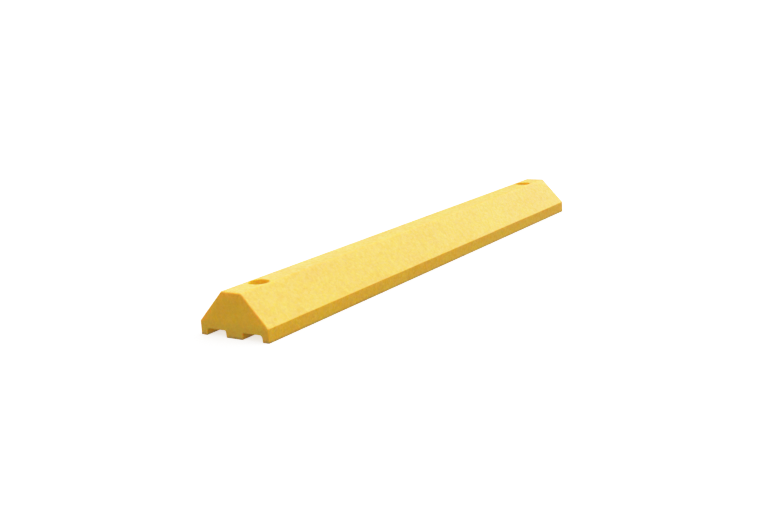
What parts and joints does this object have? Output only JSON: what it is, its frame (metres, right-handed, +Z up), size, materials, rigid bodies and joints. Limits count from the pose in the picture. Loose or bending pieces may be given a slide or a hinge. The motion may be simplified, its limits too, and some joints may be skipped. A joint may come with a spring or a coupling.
{
  "type": "parking wheel stop",
  "caption": "Long, low trapezoidal wheel stop of moulded plastic with channels beneath it, and steel ground spikes that draw out of washered sockets in its crest.",
  "frame": {"origin": "middle of the centre foot's underside, on the pavement, halfway between the ends", "axes": "+X along the bar, +Y across it, +Z up out of the pavement"},
  "size_m": [1.2192, 0.1524, 0.3528],
  "materials": {
    "yellow_plastic": "moulded recycled plastic, coloured through, with a fine matt grain",
    "washer_steel": "zinc plated, dull",
    "spike_steel": "hot-dip galvanised, with a bare struck face"
  },
  "bodies": {
    "stop": {"stop_body": "yellow_plastic", "left_washer": "washer_steel", "right_washer": "washer_steel"},
    "left_spike": {"left_spike": "spike_steel"},
    "right_spike": {"right_spike": "spike_steel"}
  },
  "joints": [
    {"name": "left_spike_draw", "type": "slide", "parent": "stop", "child": "left_spike", "axis": [0, 0, 1], "range_m": [0, 0.35]},
    {"name": "right_spike_draw", "type": "slide", "parent": "stop", "child": "right_spike", "axis": [0, 0, 1], "range_m": [0, 0.35]}
  ]
}
